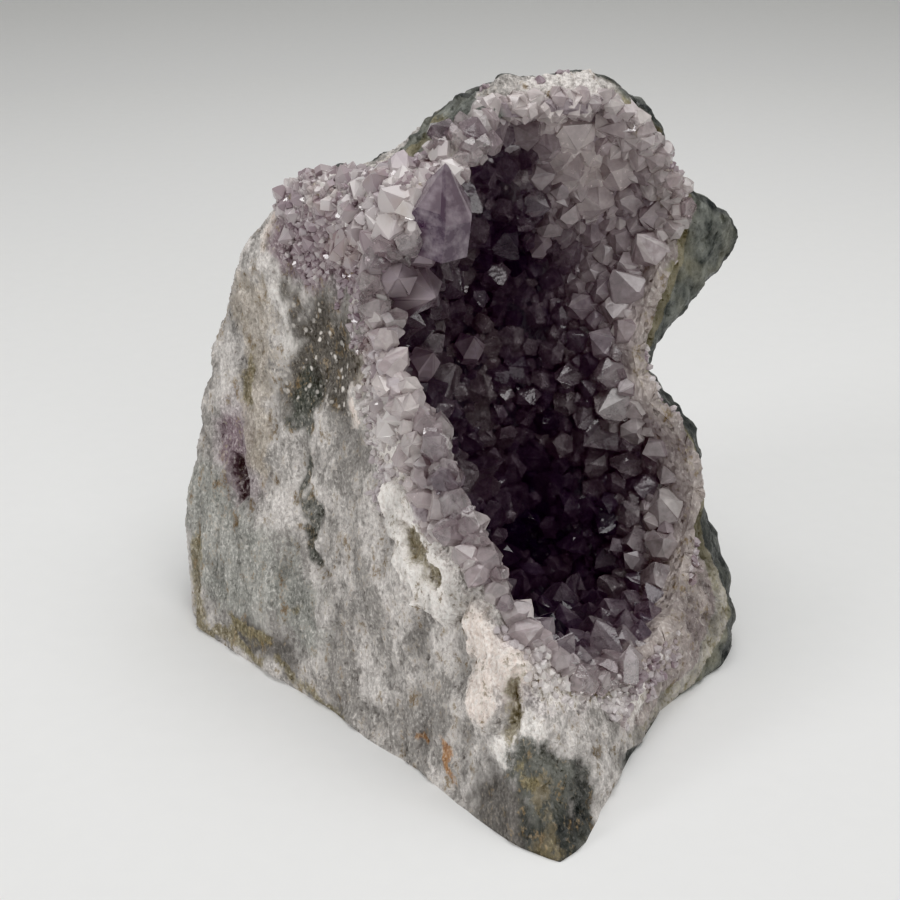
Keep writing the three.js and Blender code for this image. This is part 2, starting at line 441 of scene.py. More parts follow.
# %% [markdown]
# Broken quartz is craggy at every size, from hollows of a centimetre down to grains under a millimetre, and
# along the break the grains lie in slanting fibres. The skin is knobbly, because it grew against the bubbly
# lava. Where the rock is pushed out or in by a mark of its own, such as the raised ring with a sunken
# middle, that is added one by one. All heights are in millimetres. Last, every point is shaken loose a
# little, as grains are.

# %% The relief of the rock
FIBRE_WAY = unit(0.05, -0.45, -0.9)
GRAIN = 0.09 * MM
along_fibres = form @ FIBRE_WAY
drawn_out = form - 0.5 * along_fibres[:, None] * FIBRE_WAY

small_relief = broken * (0.8 * crags(drawn_out, 3.6 * MM, 2) + 0.6 * crags(drawn_out, 1.7 * MM, 3))
small_relief += skin * (1.3 * (pebbles(form, 4.2 * MM, 4) - 0.5) + 0.5 * crags(form, 2.4 * MM, 5))
elsewhere = (1 - skin) * (1 - broken)
small_relief += elsewhere * (crags(form, 3.4 * MM, 6) + 0.7 * crags(form, 1.6 * MM, 7))
relief = small_relief + 1.2 * crags(form, 12 * MM, 1) + 0.9 * skin * crags(form, 8 * MM, 9)
relief += in_hollow * crust(form)
relief += 1.9 * ramp(eye, 0.2, 0.55) - 2.6 * ramp(eye_middle, 0.1, 0.8) + 1.8 * ramp(bulges, 0.15, 0.6)
relief -= 1.2 * dent + 2.6 * dent_middle + 1.8 * crease
relief -= 0.5 * glassy_patch + 0.6 * streak
relief += 0.8 * front_tip * crags(form, 2.6 * MM, 11)
relief *= 1 - 0.6 * polished
relief[on_cut] *= 0.2

loose = np.random.default_rng(3).normal(0, 1, form.shape)
loose = loose * (1 - skin * 0.7)[:, None] * (1 - 0.8 * polished)[:, None]
shaped = form + relief[:, None] * MM * facing + GRAIN * loose
shaped[:, 2] = np.maximum(shaped[:, 2], 0)
shaped[on_cut, 2] = 0
set_points(rock.data, shaped)
print("relief from", relief.min().round(2), "to", relief.max().round(2), "mm")


# %% [markdown]
# ## The amethyst points
# A quartz crystal is a six-sided prism under a six-sided tip. The tip's faces always slope the same way, 38
# degrees off the crystal's long axis, but they grow at different speeds, so no two tips look alike: three
# of the faces are often larger and the other three small. We make a crystal as nature does, as what is left
# inside its faces: each face is a plane at its own distance from the middle, and the corners are where
# three planes meet. Two dozen different points are enough, because each one is also turned and scaled.

# %% One crystal from its faces
TIP_SLOPE = math.radians(38.2)


def quartz_point(chance, evenness=0.0):
    """The corners and triangles of one point of radius 1, its root at -1 and its tip near +1."""
    planes = [((0, 0, -1), 1.0)]
    for i in range(6):
        turn = i * math.pi / 3
        side = (math.cos(turn), math.sin(turn))
        planes.append(((*side, 0), chance.uniform(0.72, 1.0)))
        slow = chance.uniform(0.0, 0.12) if i % 2 else chance.uniform(0.08, 0.42)
        slow *= 1 - evenness
        lift = math.sin(TIP_SLOPE)
        normal = (side[0] * math.cos(TIP_SLOPE), side[1] * math.cos(TIP_SLOPE), lift)
        planes.append((normal, lift * (1 + slow)))
    normals = np.array([p[0] for p in planes])
    reach = np.array([p[1] for p in planes])
    corners = []
    for i in range(len(planes)):
        for j in range(i):
            for k in range(j):
                three = normals[[i, j, k]]
                if abs(np.linalg.det(three)) > 1e-6:
                    corner = np.linalg.solve(three, reach[[i, j, k]])
                    if (normals @ corner <= reach + 1e-9).all():
                        corners.append(corner)
    shape = bmesh.new()
    for corner in np.unique(np.round(corners, 6), axis=0):
        shape.verts.new(corner)
    bmesh.ops.convex_hull(shape, input=shape.verts)
    shape.verts.index_update()
    found = np.array([v.co for v in shape.verts]), np.array([[v.index for v in f.verts] for f in shape.faces])
    shape.free()
    return found


grown = np.random.default_rng(20)
POINTS = [quartz_point(grown) for _ in range(24)]
PLAIN_POINTS = [quartz_point(grown, evenness=0.7) for _ in range(6)]
PLAIN_POINTS = [(corners * (1, 1, 1.3), triangles) for corners, triangles in PLAIN_POINTS]
print("corners of the first points:", [len(corners) for corners, _ in POINTS[:6]])


# %% Where crystals stand
def scatter(places, gap, chance, taken=()):
    """Picks places by chance that are at least gap apart, and as far from the taken ones."""
    cells = {}

    def cell(p):
        return tuple((p // gap).astype(int))

    def has_room(p):
        here = cell(p)
        for step in NEIGHBOURS:
            for q in cells.get((here[0] + step[0], here[1] + step[1], here[2] + step[2]), ()):
                if ((p - q) ** 2).sum() < gap * gap:
                    return False
        return True

    for q in taken:
        cells.setdefault(cell(q), []).append(q)
    picked = []
    for i in chance.permutation(len(places)):
        if has_room(places[i]):
            cells.setdefault(cell(places[i]), []).append(places[i])
            picked.append(i)
    return np.array(picked, int)


# %% Growing crystals at those places
def turned_to(axis, spin):
    """A frame whose third axis is the crystal's long axis."""
    axis = axis / np.linalg.norm(axis)
    side = np.cross(axis, (0.31, 0.52, 0.79))
    side /= np.linalg.norm(side)
    other = np.cross(axis, side)
    first = math.cos(spin) * side + math.sin(spin) * other
    return np.array([first, np.cross(axis, first), axis])


def grow(places, axes, radii, heights, chance, points=POINTS):
    """One (corners, triangles) for each place. A crystal's height is from its place to its tip."""
    crystals = []
    for place, axis, radius, height in zip(places, axes, radii, heights):
        corners, triangles = points[chance.integers(len(points))]
        tall = np.where(corners[:, 2:] < 0, radius * 0.9, 0) * corners[:, 2:]
        top = corners[:, 2].max()
        lift = np.where(corners[:, 2:] < 0, 0, height + (corners[:, 2:] - top) * radius)
        shaped = np.hstack([corners[:, :2] * radius, tall + lift])
        crystals.append((shaped @ turned_to(axis, chance.uniform(0, 2 * math.pi)) + place, triangles))
    return crystals


# %% [markdown]
# Crystals that touch while they grow become one body, so the ones here are joined by a true union, and no
# face is left inside another crystal. The union is quick when it joins a few big meshes in place of a
# thousand small ones. So the crystals are first dealt into hands, such that no two in a hand touch, and the
# hands are then joined one after the other.

# %% Joining crystals that overlap
def deal(crystals):
    """Hands of crystals that don't touch each other."""
    middles = np.array([corners.mean(0) for corners, _ in crystals])
    reaches = np.array([np.linalg.norm(corners - corners.mean(0), axis=1).max() for corners, _ in crystals])
    hand_of = np.full(len(crystals), -1)
    for i in range(len(crystals)):
        close = np.linalg.norm(middles[:i] - middles[i], axis=1) < reaches[:i] + reaches[i]
        used = set(hand_of[:i][close])
        hand_of[i] = next(h for h in range(len(crystals)) if h not in used)
    return hand_of


def lay_out(name, crystals, values):
    """One mesh of crystals side by side, with each crystal's values painted on its faces."""
    starts = np.cumsum([0] + [len(corners) for corners, _ in crystals])
    points = np.vstack([corners for corners, _ in crystals])
    faces = np.vstack([triangles + start for (_, triangles), start in zip(crystals, starts)])
    made = new_object(name, mesh_from(name, points, faces.tolist()))
    sides = [len(triangles) for _, triangles in crystals]
    for key, each in values.items():
        layer = made.data.attributes.new(key, "FLOAT", "FACE")
        layer.data.foreach_set("value", np.repeat(np.asarray(each, np.float32), sides))
    return made


FACE_KEY = np.array((31.7, 17.3, 23.9))


def join_all(name, crystals, **values):
    """One body of all the crystals. Each flat face gets a number of its own, drawn from the way it faces."""
    hand_of = deal(crystals)
    joined = None
    for hand in range(hand_of.max() + 1):
        mine = np.flatnonzero(hand_of == hand)
        held = {key: np.asarray(each)[mine] for key, each in values.items()}
        layer = lay_out(f"{name}_{hand}", [crystals[i] for i in mine], held)
        if joined is None:
            joined = layer
            continue
        union = joined.modifiers.new("union", "BOOLEAN")
        union.operation = "UNION"
        union.solver = "MANIFOLD"
        union.object = layer
        apply_modifiers(joined)
        bpy.data.objects.remove(layer)
    joined.name = joined.data.name = name
    faces = joined.data.polygons
    normals = np.empty(len(faces) * 3, np.float32)
    faces.foreach_get("normal", normals)
    # This number tones each face in the materials: partly the real difference between faces, partly painted
    # reflection.
    by_face = normals.reshape(-1, 3) @ FACE_KEY % 1.0
    layer = joined.data.attributes.new("facet_tone_and_light", "FLOAT", "FACE")
    layer.data.foreach_set("value", by_face.astype(np.float32))
    print(name, "has", len(crystals), "crystals in", hand_of.max() + 1, "hands,", len(faces), "faces")
    return joined


# %% [markdown]
# Where a crystal stands decides how it looks. At the rim the points are small and pale. Deep in the hollow
# they are larger and violet, and the deepest are painted near black: that is painted shade, where little
# light reaches into the hollow. Under the crown the crystals are low, dull and greyish, and along the left
# rim they are frosty. So each place in the lining gets two numbers: how deep it lies behind the rim, which
# also carries the painted shade, and how dull it is.

# %% The lining: how deep and how dull
seat_places = uneven(seats)


def on_lining(*each):
    return strokes(*each, on=seat_places)


# Painted shade: these strokes mark where the hollow lies deepest in shade, and push those crystals towards
# near black.
darkest_shade = on_lining(
    (600, 400, 220, 680, 600, 220, 17),
    (660, 640, 260, 650, 660, 380, 12),
)
darkest_shade = np.maximum(darkest_shade, 0.2 * on_lining((640, 820, 690, 580, 790, 760, 9)))
by_the_sill = on_lining((660, 420, 150, 820, 460, 160, 9))
depth = np.maximum(0.56 * ramp(behind_rim, 0.5 * MM, 10 * MM), 0.75 * by_the_sill) + 0.44 * darkest_shade
# Painted light: on the right wall the crystals are made paler, where that wall is lit.
depth *= 1 - 0.65 * on_lining((810, 660, 440, 830, 580, 220, 13))
depth *= 1 - 0.5 * on_lining((460, 660, 600, 530, 740, 520, 10))
dull = on_lining(
    (560, 720, 950, 700, 780, 930, 12),
    (690, 830, 950, 800, 830, 680, 18),
    (790, 830, 700, 760, 800, 560, 13),
)
dull *= 1 - 0.45 * on_lining((800, 820, 760, 730, 790, 550, 12))
frost_and_painted_light = on_lining(
    (370, 500, 580, 420, 400, 420, 14),
    (420, 400, 420, 580, 230, 230, 12),
) * (1 - ramp(behind_rim, 4 * MM, 9 * MM))
# Painted light: the right wall's crystals are also made frosty and pale where that wall is lit. The left
# rim's frost is real.
lit_right_wall = on_lining((810, 660, 440, 830, 580, 220, 9))
frost_and_painted_light = np.maximum(frost_and_painted_light, 0.6 * lit_right_wall)
flat_rim = on_lining((900, 600, 200, 820, 720, 500, 9))
corner = bare_corner(seat_places)


# %% [markdown]
# One point on the left shoulder is much larger than the rest, about a centimetre across. It stands nearly
# upright beside four smaller ones, and three more stand further in. They are listed one by one and placed
# first, and the other crystals keep clear of them.

# %% The largest points
BARE_EDGE = 3.5 * MM
chance = np.random.default_rng(7)
LARGEST = (
    # place, axis, radius and height in mm, and how dark it is
    ((472, 560, 836), (0.1, -0.22, 1.0), 6.4, 8.8, 1.0),
    ((430, 572, 800), (-0.25, -0.6, 0.9), 4.0, 6.0, 0.2),
    ((440, 580, 765), (0.3, -0.9, 0.55), 4.4, 6.5, 0.0),
    ((425, 600, 690), (0.45, -0.85, 0.1), 5.4, 9.5, 0.0),
    ((400, 560, 720), (0.1, -0.95, 0.3), 4.2, 7.0, 0.0),
    ((445, 615, 550), (0.35, -0.65, 0.65), 3.4, 4.5, 0.1),
    ((517, 750, 520), (0.2, -0.7, 0.7), 3.4, 5.5, 0.7),
    ((641, 825, 687), (0.1, -0.9, 0.4), 2.8, 3.8, 0.0),
)
largest_points = []
bare = (corner > 0.25) | ((flat_rim > 0.3) & (behind_rim < BARE_EDGE))
seat_room = np.where(bare, -1.0, np.inf)
for place, axis, radius, height, _ in LARGEST:
    root = spot(*place)
    tip = root + height * MM * unit(*axis)
    largest_points += grow([root], [unit(*axis)], [radius * MM], [height * MM], chance, PLAIN_POINTS)
    for share in (0, 0.5, 1):
        away = np.linalg.norm(seats - root - share * (tip - root), axis=1)
        seat_room = np.minimum(seat_room, away - (0.95 - 0.4 * share) * radius * MM)
largest = join_all("largest_points", largest_points, tint=[row[-1] for row in LARGEST])


# %% [markdown]
# The other crystals are planted in three rounds, as in a crowded bed: large ones well apart, middling ones
# between them, then small ones in every gap. Large ones keep away from the rim, and along the crown only
# small ones grow.

# %% The crystals of the hollow
ELBOW_ROOM = 4 * MM
LARGE_GAP, MIDDLING_GAP, SMALL_GAP = 5.3 * MM, 3.7 * MM, 2.2 * MM
clear = np.flatnonzero(seat_room > 0)
roomy = clear[(behind_rim[clear] > ELBOW_ROOM) & (seat_room[clear] > ELBOW_ROOM)]
first = roomy[scatter(seats[roomy], LARGE_GAP, chance)]
crown_rim = (behind_rim < 3 * MM) & (seats[:, 2] > 72 * MM) & (seats[:, 0] > -8 * MM)
middling = clear[~crown_rim[clear]]
second = middling[scatter(seats[middling], MIDDLING_GAP, chance, taken=seats[first])]
third = clear[scatter(seats[clear], SMALL_GAP, chance, taken=seats[np.append(first, second)])]
print("large, medium and small crystals in the hollow:", len(first), len(second), len(third))


def leaning(axes, spread):
    """The same axes, each leaning its own way."""
    return axes + chance.normal(0, spread, axes.shape)


def druse_of(sites, thin, thick, low, high):
    """Crystals at the seats, from thin to thick and from low to high in mm. Dull ones stay low."""
    count = len(sites)
    radii = chance.uniform(thin, thick, count) * (1 + 0.25 * dull[sites]) * MM
    heights = chance.uniform(low, high, count) * MM * (1 - 0.35 * dull[sites] - 0.5 * flat_rim[sites])
    spread = 0.42 - 0.2 * ramp(behind_rim[sites], 2 * MM, 7 * MM)
    return grow(seats[sites], leaning(seat_facing[sites], spread[:, None]), radii, heights, chance)


crystals = druse_of(first, 2.6, 4.2, 2.8, 6.0)
crystals += druse_of(second, 2.1, 3.0, 1.9, 4.2)
crystals += druse_of(third, 1.5, 2.1, 0.9, 2.3)
stand = np.concatenate([first, second, third])
druse = join_all(
    "amethyst_druse",
    crystals,
    depth=np.clip(depth[stand] + chance.normal(0, 0.12, len(stand)), 0, 1),
    dull=np.maximum(dull, frost_and_painted_light)[stand],
    tint=chance.uniform(0, 1, len(stand)),
)


# %% [markdown]
# Outside the hollow the quartz ends in a crust of tiny points, like coarse sugar. On the shoulder they are
# four to six millimetres across beside the hollow and half that further out; along the rim and down the
# front slope they are one or two. It is this crust that makes the stone sparkle.

# %% The sugar crust
ground = points_of(rock.data)
ground_facing = normals_of(rock.data)
shoulder = on_rock(
    (240, 740, 830, 410, 660, 880, 12),
    (290, 680, 760, 390, 560, 780, 9),
    (380, 520, 700, 400, 460, 530, 5),
    (420, 560, 840, 460, 600, 870, 6),
)
fine_crust = on_rock(
    (260, 720, 740, 340, 600, 700, 9),
    (360, 550, 700, 390, 450, 500, 9),
    (400, 430, 450, 420, 410, 420, 10),
    (600, 220, 240, 800, 330, 120, 9),
    (660, 240, 200, 760, 260, 120, 7),
    (800, 360, 100, 840, 400, 100, 6),
    (900, 560, 200, 800, 740, 500, 5),
    (560, 800, 980, 620, 820, 980, 7),
    (620, 830, 980, 860, 800, 820, 8),
)
outside = (in_hollow < 0.8) & (skin < 0.6) & (ground[:, 2] > 1.5 * MM)


def crusted(mask):
    """The rock's points that a crust covers: all of them in its middle, and some towards its border."""
    needed = 0.25 + 0.5 * chance.random(len(ground))
    allowed = outside & (mask > 0.02) & (eye + bulges < 0.35)
    return np.flatnonzero(allowed & (mask + 0.5 * ragged > needed))


def crust_of(sites, thin, thick, low, high):
    axes = leaning(ground_facing[sites], 0.4)
    radii = chance.uniform(thin, thick, len(sites)) * MM
    return grow(ground[sites], axes, radii, chance.uniform(low, high, len(sites)) * MM, chance)


BROAD_GAP, COARSE_GAP, FINE_GAP = 3.9 * MM, 2.5 * MM, 1.1 * MM
on_shoulder = crusted(shoulder)
near_rim = on_shoulder[to_lining[on_shoulder] < 9 * MM]
large_sites = near_rim[scatter(ground[near_rim], BROAD_GAP, chance)]
coarse_sites = on_shoulder[scatter(ground[on_shoulder], COARSE_GAP, chance, taken=ground[large_sites])]
on_crust = crusted(np.maximum(shoulder, fine_crust))
taken = ground[np.append(large_sites, coarse_sites)]
fine_sites = on_crust[scatter(ground[on_crust], FINE_GAP, chance, taken=taken)]
all_sites = np.concatenate([large_sites, coarse_sites, fine_sites])
crust_points = crust_of(large_sites, 2.2, 3.3, 1.2, 3.4)
crust_points += crust_of(coarse_sites, 1.2, 2.2, 0.7, 2.4)
crust_points += crust_of(fine_sites, 0.55, 1.05, 0.4, 1.3)
high_up = ramp(ground[all_sites, 2], 40 * MM, 75 * MM)
violet_here = 0.22 + 0.75 * np.maximum(high_up, ramp(ground[all_sites, 0], 26 * MM, 34 * MM))
violet_here *= chance.uniform(0.2, 1.3, len(all_sites))
mauve_place = on_rock((225, 730, 735, 300, 625, 705, 8))
violet_here += 0.35 * mauve_place[all_sites]
sugar = join_all("sugar_quartz", crust_points, tint=np.clip(violet_here, 0, 1))


# %% [markdown]
# ## Materials
# Every material below starts from the real mineral and from how its surface came to be. Colours are given
# as the sRGB values that a screen shows, and turned to linear by one function. Patterns are measured in
# millimetres, so their scale is one over that size.

# %% Colours and nodes
def linear(hex_colour, alpha=1.0):
    """The linear colour behind an sRGB value such as #c0b8b4."""
    shown = [int(hex_colour[i : i + 2], 16) / 255 for i in (1, 3, 5)]
    return (*[c / 12.92 if c <= 0.04045 else ((c + 0.055) / 1.055) ** 2.4 for c in shown], alpha)


def per(millimetres):
    """The scale of a pattern whose features are this many millimetres apart."""
    return 1 / (millimetres * MM)


def add_node(tree, kind, sockets=None, out=0, **settings):
    """Adds a node and gives one of its outputs. Sockets get values, hex colours or other nodes' outputs."""
    made = tree.nodes.new("ShaderNode" + kind)
    for name, value in settings.items():
        setattr(made, name, value)
    for key, value in (sockets or {}).items():
        if isinstance(value, bpy.types.NodeSocket):
            tree.links.new(value, made.inputs[key])
        else:
            made.inputs[key].default_value = linear(value) if isinstance(value, str) else value
    return made.outputs[out] if made.outputs else made


COLOURS = {"out": 2, "data_type": "RGBA"}


def new_material(name):
    """A new material, and the function that adds a node to it."""
    material = bpy.data.materials.new(name)
    material.use_nodes = True
    material.node_tree.nodes.clear()
    return material, functools.partial(add_node, material.node_tree)


def dress(piece, material):
    piece.data.materials.clear()
    piece.data.materials.append(material)


# %% [markdown]
# ### Paper
# The floor is matt paper: no shine, and a fine tooth too small to see.

# %% Paper
matt_paper, add = new_material("matt_paper")
tooth = add("TexNoise", {"Scale": per(1.5), "Detail": 2})
toned = add("MapRange", {0: tooth, 3: 0.80, 4: 0.82})
grey = add("CombineColor", {0: toned, 1: toned, 2: toned})
sheet = add("BsdfPrincipled", {"Base Color": grey, "Roughness": 0.9, "Specular IOR Level": 0.2})
add("OutputMaterial", {"Surface": sheet})
dress(paper, matt_paper)


# %% [markdown]
# ### Massive quartz, chalcedony and rind
# The rock is one mineral in several coats. Massive quartz is a mass of grains under a millimetre, so each
# grain turns its own little face to the light: that is the sparkle, and it is made by tilting the surface a
# different way in each cell of a fine cellular pattern. The grains lie in fibres, so the pattern is drawn
# out along them. Stains of iron (rust, ochre) and of celadonite (grey-green) soaked into it afterwards, so
# they are laid over it one by one, each with a border broken up by the grain.

# %% What the rock's points know about themselves
dull_wall = on_rock(
    (560, 720, 950, 700, 780, 930, 12),
    (690, 830, 950, 800, 830, 680, 20),
    (790, 830, 700, 760, 800, 560, 14),
)
off_right_edge = 1 - at_right * ramp(past_rim, -6 * MM, -4 * MM)
off_corner = 1 - ramp(bare_corner(rock_places), 0.2, 0.4)
band_from = skin_from - (3.2 + 2.4 * crags(form, 10 * MM, 33)) * MM
past_band = ramp(past_rim, band_from, band_from + 0.8 * MM)
at_end = at_right * past_band * (1 - ramp(past_rim, skin_from, skin_from + 1 * MM))
crown_end = on_rock(
    (494, 710, 924, 472, 765, 930, 3.4),
    (420, 766, 874, 453, 763, 901, 3.4),
)
MASKS = {
    "skin": skin,
    "glassy_patch": glassy_patch,
    "streak": streak,
    "front_tip": front_tip,
    "tan": tan,
    "undusted": np.clip(polished + front_tip + tan + 0.9 * glassy_patch + 0.6 * skin, 0, 1),
    "polished": polished,
    "inside": in_hollow * off_right_edge * off_corner,
    # How far the wall lies behind the rim. The wall is lilac grey at the rim, and its near black deeper in is
    # painted shade.
    "wall_depth_and_shade": ramp(-past_rim, 1 * MM, 13 * MM) * (1 - dull_wall),
    "band": np.maximum(at_end * (1 - 0.6 * low_down), crown_end),
    "mauve": np.maximum(dent, mauve_place),
    "dark_mauve": dent_middle,
    "rim_quartz": at_right * (1 - past_band) * (skin < 0.5),
    "rind_edge": skin * ramp(turned_away, -0.30, 0.0) * (1 - ramp(turned_away, 0.35, 0.6)),
    # Painted shade: how far down a point lies in the small relief, so that its recesses are darkened.
    "painted_recess_shade": ramp(-small_relief, -0.3, 0.9),
}


# %% The stains and crusts, as places on the rock
STAINS = {}
STAINS["white"] = (
    (388, 465, 520, 402, 435, 440, 8),
    (424, 386, 389, 430, 380, 380, 4),
    (191, 738, 642, 217, 692, 567, 4),
    (567, 121, 128, 600, 130, 150, 5),
)
STAINS["sage"] = (
    (40, 720, 220, 160, 600, 120, 17),
    (220, 550, 160, 270, 490, 120, 12),
)
STAINS["beige"] = (
    (140, 740, 620, 160, 680, 360, 8),
    (330, 570, 620, 350, 530, 550, 3.5),
    (600, 220, 200, 720, 250, 130, 6),
)
STAINS["pink"] = (
    (517, 232, 262, 580, 185, 235, 7.5),
    (531, 185, 200, 531, 185, 184, 6),
    (325, 550, 562, 332, 521, 494, 2.6),
    (395, 411, 372, 400, 400, 350, 3),
    (420, 400, 410, 400, 440, 460, 4),
    (176, 773, 734, 200, 770, 780, 4),
    (450, 320, 340, 470, 300, 300, 4),
)
STAINS["lilac"] = (
    (239, 746, 800, 360, 574, 762, 13),
    (247, 709, 707, 326, 599, 711, 7),
    (357, 521, 607, 376, 487, 554, 5),
    (120, 660, 300, 100, 720, 370, 10),
    (620, 210, 230, 800, 340, 100, 14),
)
STAINS["ochre"] = (
    (135, 742, 518, 136, 718, 442, 2.6),
    (355, 544, 667, 365, 540, 655, 1.8),
    (364, 467, 452, 366, 465, 450, 1),
    (220, 498, 134, 225, 495, 120, 1.6),
    (169, 527, 66, 120, 574, 50, 3),
    (20, 700, 150, 40, 660, 30, 5),
    (40, 660, 10, 330, 370, 10, 3),
    (450, 770, 870, 400, 766, 874, 2.4),
    (652, 211, 193, 725, 247, 132, 3.4),
    (632, 75, 100, 653, 25, 17, 2.2),
    (590, 110, 120, 600, 90, 100, 2),
    (423, 772, 878, 486, 800, 945, 2.4),
    (319, 463, 297, 320, 463, 300, 1.6),
)
STAINS["rust"] = (
    (458, 237, 87, 486, 192, 72, 1.8),
    (486, 192, 60, 481, 174, 26, 2.6),
    (431, 253, 51, 440, 240, 40, 1.6),
)
apron = on_rock((620, 200, 200, 780, 280, 110, 9))
also = {"white": ramp(eye, 0.15, 0.5) + 0.8 * apron, "ochre": eye_middle + crease}
for stain, each in STAINS.items():
    MASKS[stain] = np.clip(on_rock(*each) + also.get(stain, 0), 0, 1)
for key, mask in MASKS.items():
    paint(rock.data, key, mask)
print("masks painted on the rock:", len(MASKS))


# %% The rock's grain, fibres and patches
rock_material, add = new_material("broken_quartz_and_rind")
place = add("TexCoord", out="Object")
along = add("VectorMath", {0: place, 1: tuple(FIBRE_WAY)}, "Value", operation="DOT_PRODUCT")
drawn = add("VectorMath", {0: tuple(FIBRE_WAY), "Scale": along}, operation="SCALE")
shorter = add("VectorMath", {0: drawn, "Scale": 0.35}, operation="SCALE")
fibres = add("VectorMath", {0: place, 1: shorter}, operation="SUBTRACT")

fine = add("TexNoise", {"Vector": fibres, "Scale": per(0.5), "Detail": 3, "Roughness": 0.6})
grainy = add("TexNoise", {"Vector": fibres, "Scale": per(2.6), "Detail": 5, "Roughness": 0.65})
streaky = add(
    "TexNoise", {"Vector": fibres, "Scale": per(8), "Detail": 4, "Roughness": 0.6, "Distortion": 0.6}
)
patchy = add("TexNoise", {"Vector": place, "Scale": per(17), "Detail": 3, "Distortion": 0.4})
cells = add("TexVoronoi", {"Vector": fibres, "Scale": per(0.7)}, "Color")
flecks = add("TexVoronoi", {"Vector": place, "Scale": per(1.9)})


def lay_over(under, mask, colour, other, raggedness=1.0, strength=1.0, grain=fine):
    """Lays a coat from colour to other over what is under it, where the mask is, with a ragged border."""
    where = add("Attribute", out="Fac", attribute_name=mask)
    torn = add("Math", {0: grainy, 1: 1.3 * raggedness, 2: where}, operation="MULTIPLY_ADD")
    crumbled = add("Math", {0: fine, 1: 0.8 * raggedness, 2: torn}, operation="MULTIPLY_ADD")
    start = 0.12 + 1.05 * raggedness
    border = {0: crumbled, 1: start, 2: start + 0.6, 4: strength}
    share = add("MapRange", border, interpolation_type="SMOOTHSTEP")
    spread = add("MapRange", {0: grain, 1: 0.35, 2: 0.65})
    coat = add("Mix", {0: spread, 6: colour, 7: other}, **COLOURS)
    return add("Mix", {0: share, 6: under, 7: coat}, **COLOURS)


# %% The rock's coats, from the quartz outwards
contrast = add("MapRange", {0: fine, 1: 0.30, 2: 0.70})
fern = add("Math", {0: grainy, 1: 1.1, 2: streaky}, operation="MULTIPLY_ADD")
mottling = add("Math", {0: patchy, 1: 0.8, 2: fern}, operation="MULTIPLY_ADD")
frost = add("MapRange", {0: mottling, 1: 1.30, 2: 1.56}, interpolation_type="SMOOTHSTEP")
grey = add("Mix", {0: contrast, 6: "#827e7b", 7: "#aca7a3"}, **COLOURS)
white = add("Mix", {0: contrast, 6: "#b2aca9", 7: "#ece7e3"}, **COLOURS)
colour = add("Mix", {0: frost, 6: grey, 7: white}, **COLOURS)
# mask, two colours, how ragged the border is, how strongly it covers, and its grain
for coat in (
    ("lilac", "#968a8d", "#d3c8cb", 1.0, 0.75),
    ("sage", "#7c7f79", "#b0b1ab", 1.0, 0.65),
    ("beige", "#9a8f82", "#c8bcac", 1.2, 0.6),
    ("rim_quartz", "#877c7b", "#c0b5af", 0.6, 0.9, streaky),
    ("pink", "#e0d1c8", "#faf2ec", 0.8, 0.95),
    ("white", "#e2dbd6", "#fdfaf6", 1.0, 0.95),
    ("mauve", "#75626a", "#a39399", 1.0, 0.85),
    ("dark_mauve", "#4d4142", "#76696a", 0.6, 0.85),
    ("glassy_patch", "#4a4641", "#706a63", 0.7, 0.94),
    ("streak", "#363a35", "#696a63", 1.3, 0.85),
    ("polished", "#4d4a47", "#726d68", 0.8, 0.92),
    ("front_tip", "#202426", "#63645e", 1.0, 0.95, streaky),
    ("tan", "#5a5140", "#8a7f69", 2.4, 0.7, streaky),
    ("ochre", "#5f563f", "#9c9172", 1.4, 0.8),
    ("rust", "#95602c", "#bb8a52", 1.4, 0.75),
):
    colour = lay_over(colour, *coat)
clean_here = add("Attribute", out="Fac", attribute_name="undusted")
dust = add("MapRange", {0: fine, 1: 0.55, 2: 0.68, 4: 0.42})
thinner = add("MapRange", {0: clean_here, 3: 1.0, 4: 0.15})
dusted = add("Math", {0: dust, 1: thinner}, operation="MULTIPLY")
colour = add("Mix", {0: dusted, 6: colour, 7: "#efeae6"}, **COLOURS)
specks = add("MapRange", {0: flecks, 1: 0.31, 2: 0.18})
on_patch = add("Attribute", out="Fac", attribute_name="glassy_patch")
specked = add("Math", {0: specks, 1: on_patch}, operation="MULTIPLY")
colour = add("Mix", {0: specked, 6: colour, 7: "#e4ded8"}, **COLOURS)
colour = lay_over(colour, "skin", "#3a3d3c", "#878983", 0.5, 1.0, grainy)
on_skin = add("Attribute", out="Fac", attribute_name="skin")
weather = add("MapRange", {0: patchy, 1: 0.48, 2: 0.62, 4: 0.45})
weathered = add("Math", {0: weather, 1: on_skin}, operation="MULTIPLY")
colour = add("Mix", {0: weathered, 6: colour, 7: "#8b856f"}, **COLOURS)
colour = lay_over(colour, "rind_edge", "#252729", "#5b5d5a", 1.2, 0.9, grainy)
colour = lay_over(colour, "band", "#484431", "#989179", 0.9, 0.9, patchy)
# Painted shade and painted light: the colour is darkened in the recesses of the small relief and lightened a
# little on its crests.
painted_recess_shade = add("Attribute", out="Fac", attribute_name="painted_recess_shade")
shadowed = add("MapRange", {0: painted_recess_shade, 3: 1.08, 4: 0.62})
colour = add("VectorMath", {0: colour, "Scale": shadowed}, operation="SCALE")
# The wall behind the crystals: its own lilac grey at the rim, darkening to near black deeper in the hollow,
# which is painted shade.
behind = add("Attribute", out="Fac", attribute_name="wall_depth_and_shade")
wall = add("Mix", {0: behind, 6: "#a0959a", 7: "#211a23"}, **COLOURS)
walled = add("Attribute", out="Fac", attribute_name="inside")
colour = add("Mix", {0: walled, 6: colour, 7: wall}, **COLOURS)


